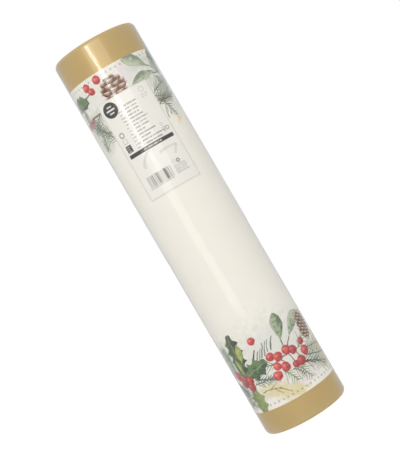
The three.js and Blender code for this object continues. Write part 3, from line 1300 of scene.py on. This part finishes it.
# Each line: what is printed, its ink, and how strongly it covers.
LABEL_PRINT = [
    (ring(-17, 334.5, 0, 15), LABEL_INK, 1.0),
    (patch(-21.5, -12.5, 333.7, 335.3), LABEL_WHITE, 0.9),
    (patch(-19.5, -14.5, 337, 338.4), LABEL_WHITE, 0.8),
    (patch(-19.5, -14.5, 330.6, 332), LABEL_WHITE, 0.8),
    (rows(-12, 333.5, 3.3, 13, 2, 4.5), LABEL_INK, 0.4),
    (rows(-5, 333.5, 3.3, 5, 10, 17), LABEL_INK, 0.56),
    (rows(-5, 317, 3.3, 8, 6, 26), LABEL_INK, 0.56),
    (ring(18, 338, 2.4, 0.5), LABEL_GREY, 0.45),
    (rows(15, 334, 2.2, 2, 5, 7), LABEL_GREY, 0.35),
    (ring(-20, 309.5, 2.2, 0.9), LABEL_INK, 0.75),
    (patch(-22.5, -17.5, 300.8, 305.4), LABEL_GREY, 0.4),
    (patch(-21.8, -18.2, 301.5, 304.7), LABEL_WHITE, 1.0),
    (patch(-23, -17, 292, 299), LABEL_INK, 0.95),
    (rows(-22, 298.3, 2.1, 3, 3, 4), LABEL_WHITE, 0.5),
    (ring(18, 301, 1.3, 0.5), LABEL_GREY, 0.5),
    (patch(17, 20, 293, 298.5), LABEL_GREY, 0.3),
    (ring(22, 296, 1.6, 0.8), LABEL_INK, 0.6),
    (patch(-24, 24, 286.5, 290.2), LABEL_INK, 1.0),
    (rows(-8, 290.0, 3.4, 1, 18, 19), LABEL_WHITE, 0.7),
    (arc(-16, 273, 48, 17, 3.0, 2), LABEL_GREY, 0.2),
    (arc(3, 279, 0, 19, 2.8, 1), LABEL_GREY, 0.2),
    (arc(21, 279, 236, 9, 2.6, 0), LABEL_GREY, 0.2),
    (ring(10, 266, 1.5, 0.5), LABEL_GREY, 0.45),
    (ring(14.5, 265.2, 1.4, 1.0), LABEL_INK, 0.8),
    (bars(-21, -8, 0.42, 0.6), LABEL_INK, 0.72),
    (bars(-8, -3, 0.42, 0.4), LABEL_INK, 0.5),
    (bars(-3, 5, 0.5, 0.6), LABEL_INK, 0.8),
    (rows(-22, 254.2, 1.8, 1, 26, 27), LABEL_GREY, 0.6),
    (rows(8, 262.6, 1.75, 5, 9, 14), LABEL_GREY, 0.6),
]


def label_material():
    material, tree, shader = start_material("label_print", 0.38)
    flat = flat_place(tree)
    x, y, _ = parts(tree, flat)
    fibres = grain(tree, flat, 1.6, 4.0, 0.6)
    base = blend(tree, times(tree, fibres, 0.3), LABEL_WHITE, ink(234, 231, 224))
    for (group, places), colour, strength in LABEL_PRINT:
        laid = stamp(tree, group, X=x, Y=y, **places)
        base = blend(tree, times(tree, laid["Mask"], strength), base, colour)
    feed(tree, shader.inputs["Base Color"], base)
    emboss(tree, shader, fibres, 0.15, 0.0001)
    return material


# %% Lay the label
LABEL_WALL = 0.06 * MM
LABEL_CURL = 0.02 * MM
LABEL_DEPTH = 0.14 * MM
LABEL_COLUMNS = 36
LABEL_ROWS = 60


def lay_label():
    low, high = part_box("label_sheet")
    radius = -low.y - LABEL_DEPTH
    half_bearing = math.asin(high.x / -low.y)
    height_of = lambda point: low.z + (high.z - low.z) * (point.y + 1) / 2
    place = lambda point: (point.x * half_bearing * FLAT_RADIUS_MM, height_of(point) / MM)
    shape = flat_sheet(LABEL_COLUMNS, LABEL_ROWS, place)
    for vert in shape.verts:
        height = height_of(vert.co)
        wave = noise.noise(Vector((vert.co.x * 1.4, height / MM / 30, 8.0)))
        bearing = math.degrees(vert.co.x * half_bearing)
        vert.co = roll_point(bearing, radius + LABEL_CURL * wave, height)
    return finish_piece(
        shape, "label", ROLL_BODY, [label_material()], ["label_sheet"], wall=LABEL_WALL
    )


lay_label()

# %% [markdown]
# ## The shrink film
# The film is a tube that was drawn over the roll and shrunk with hot air. It hugs the side, turns
# over the crushed corner, and ends in a ragged hole on each end face. There it has shrunk to less
# than its own width, so it gathers in pleats that fan out from the hole. A clear film is hardly seen
# itself: it lets nearly all light through and mirrors a little, more where it is seen at a slant.
# Where it is welded it turns milky, and where it is folded or melted it turns a little milky too. The
# milky white along the folds, the gathers and the rims of the holes is also a painted highlight: it
# stands in for the glints that the pleats and the film's edge would catch. Each point of the piece
# carries how much of this milky haze and painted highlight the film has there, and the material reads
# it. The film has an inner face too. A ray on its way out of the roll meets that face from behind, so
# the index is turned over there to keep it from mirroring.

# %% Film material
FILM_INDEX = 1.5
FILM_ROUGHNESS = 0.09
FILM_TINT = (0.985, 0.985, 0.98, 1)
# The white and its share: real haze on the weld, and a painted highlight on folds, gathers and hole rims.
FILM_HAZE_AND_HIGHLIGHT = ink(248, 247, 243)
HAZE_AND_HIGHLIGHT_SHARE = 0.42


def film_material():
    material, tree, shader = start_material("clear_film", FILM_ROUGHNESS)
    place = object_place(tree)
    stretched = stretch(tree, place, (1, 1, 0.3))
    tension = grain(tree, stretched, 90, 3.0, 0.55)
    bump = add(tree, "ShaderNodeBump", {"Height": tension, "Strength": 0.12, "Distance": 0.002})
    gloss_inputs = {"Color": (1, 1, 1, 1), "Roughness": FILM_ROUGHNESS, "Normal": bump.outputs[0]}
    gloss = add(tree, "ShaderNodeBsdfAnisotropic", gloss_inputs)
    clear = add(tree, "ShaderNodeBsdfTransparent", {"Color": FILM_TINT})
    # A diffuse white that is partly real haze and partly a painted highlight on the folds, gathers and
    # the holes' rims.
    haze_and_highlight_shader = add(tree, "ShaderNodeBsdfDiffuse", {"Color": FILM_HAZE_AND_HIGHLIGHT})
    haze_and_highlight = add(tree, "ShaderNodeAttribute", {}, attribute_name="haze_and_highlight").outputs["Fac"]
    haze_and_highlight = times(tree, haze_and_highlight, HAZE_AND_HIGHLIGHT_SHARE)
    body = add(tree, "ShaderNodeMixShader", {0: haze_and_highlight, 1: clear.outputs[0], 2: haze_and_highlight_shader.outputs[0]})
    behind = add(tree, "ShaderNodeNewGeometry", {}).outputs["Backfacing"]
    index = calc(tree, "MULTIPLY_ADD", behind, 1 / FILM_INDEX - FILM_INDEX, FILM_INDEX)
    mirror = add(tree, "ShaderNodeFresnel", {"IOR": index, "Normal": bump.outputs[0]})
    surface = add(
        tree, "ShaderNodeMixShader", {0: mirror.outputs[0], 1: body.outputs[0], 2: gloss.outputs[0]}
    )
    tree.links.new(surface.outputs[0], tree.nodes["Material Output"].inputs["Surface"])
    tree.nodes.remove(shader)
    return material


# %% Shape of the film
FILM_WALL = 0.05 * MM
FILM_INSET = 0.12 * MM
FILM_CORNER = 3.9 * MM
FILM_HOLE = 27.0 * MM
FILM_LEVEL = 0.5 * MM
FILM_WALL_ROWS = 70
FILM_END_ROWS = 14
FILM_CORNER_ROWS = 8
FILM_STEPS = 320
PLEAT_HEIGHT = 0.62 * MM
GATHER_DEPTH = 0.14 * MM
GATHER_LENGTH = 5 * MM
TENSION_DEPTH = 0.05 * MM
TENSION_LENGTH = 28 * MM
RAGGED_DEPTH = 1.4 * MM
TORN_DEPTH = 0.6 * MM
RIM_SHARE = 0.1
WELD_BEARING = 205.0
WELD_HALF_DEGREES = 1.2


def film_profile():
    """(radius, height) points from the lower hole, round both corners, to the upper hole."""
    outer = ROLL_RADIUS - FILM_INSET
    bend = outer - FILM_CORNER
    ends = [FILM_HOLE + (bend - FILM_HOLE) * i / FILM_END_ROWS for i in range(FILM_END_ROWS)]
    angles = [math.pi / 2 * i / FILM_CORNER_ROWS for i in range(FILM_CORNER_ROWS + 1)]
    lower = [(radius, FILM_LEVEL) for radius in ends]
    for angle in angles:
        radius = bend + FILM_CORNER * math.sin(angle)
        lower.append((radius, FILM_LEVEL + FILM_CORNER * (1 - math.cos(angle))))
    wall_start = FILM_LEVEL + FILM_CORNER
    wall_length = ROLL_LENGTH - 2 * wall_start
    wall = [(outer, wall_start + wall_length * i / FILM_WALL_ROWS) for i in range(1, FILM_WALL_ROWS)]
    return lower + wall + [(radius, ROLL_LENGTH - height) for radius, height in reversed(lower)]


def ridge(x, y, z):
    """Sharp folds with soft valleys between them, from 0 to 1."""
    return 1 - min(1, 2.2 * abs(noise.noise(Vector((x, y, z)))))


def shrink_point(vert, haze_and_highlight):
    """Pleats, gathers and tension ripples for one point of the film."""
    radius = math.hypot(vert.co.x, vert.co.y)
    east = vert.co.x / radius
    north = vert.co.y / radius
    bearing = math.degrees(math.atan2(east, -north)) % 360
    side = 1 if vert.co.z > ROLL_LENGTH / 2 else -1
    from_end = ROLL_LENGTH - vert.co.z if side > 0 else vert.co.z
    bend = ROLL_RADIUS - FILM_CORNER
    inwards = max(0.0, min(1.0, (bend - radius) / (bend - FILM_HOLE)))
    fold = ridge(east * 7, north * 7, side * 5.0 + inwards * 0.6)
    gather = ridge(east * 24, north * 24, side * 2.0) * math.exp(-from_end / GATHER_LENGTH)
    tension = noise.noise(Vector((east * 3, north * 3, vert.co.z / TENSION_LENGTH)))
    ragged = RAGGED_DEPTH * noise.noise(Vector((east * 2.2, north * 2.2, side * 9.0)))
    ragged += TORN_DEPTH * noise.noise(Vector((east * 8, north * 8, side * 4.0)))
    weld = max(0.0, 1 - abs(bearing - WELD_BEARING) / WELD_HALF_DEGREES)
    rim = max(0.0, (inwards - 1 + RIM_SHARE) / RIM_SHARE)
    # The weld's share is real milky haze. Along the folds, the gathers and the holes' rims the share is
    # partly real creasing haze and partly a painted highlight that stands in for the glints these would
    # catch.
    creased = 0.7 * fold**3 * inwards**0.4 + 0.45 * gather**2
    vert[haze_and_highlight] = min(1.0, creased + 0.6 * weld + 0.8 * rim)
    new_radius = radius + ragged * inwards**3
    if inwards == 0:
        new_radius += TENSION_DEPTH * tension - GATHER_DEPTH * gather
    lift = PLEAT_HEIGHT * inwards**0.7 * (fold - 0.35)
    vert.co = (east * new_radius, north * new_radius, vert.co.z + side * lift)


def draw_film():
    shape = bmesh.new()
    haze_and_highlight = shape.verts.layers.float.new("haze_and_highlight")
    spin_profile(shape, film_profile(), FILM_STEPS, closed=False)
    for vert in shape.verts:
        shrink_point(vert, haze_and_highlight)
    bmesh.ops.recalc_face_normals(shape, faces=shape.faces)
    return finish_piece(
        shape, "shrink_film", ROLL_BODY, [film_material()], ["film_sleeve"], wall=FILM_WALL
    )


draw_film()
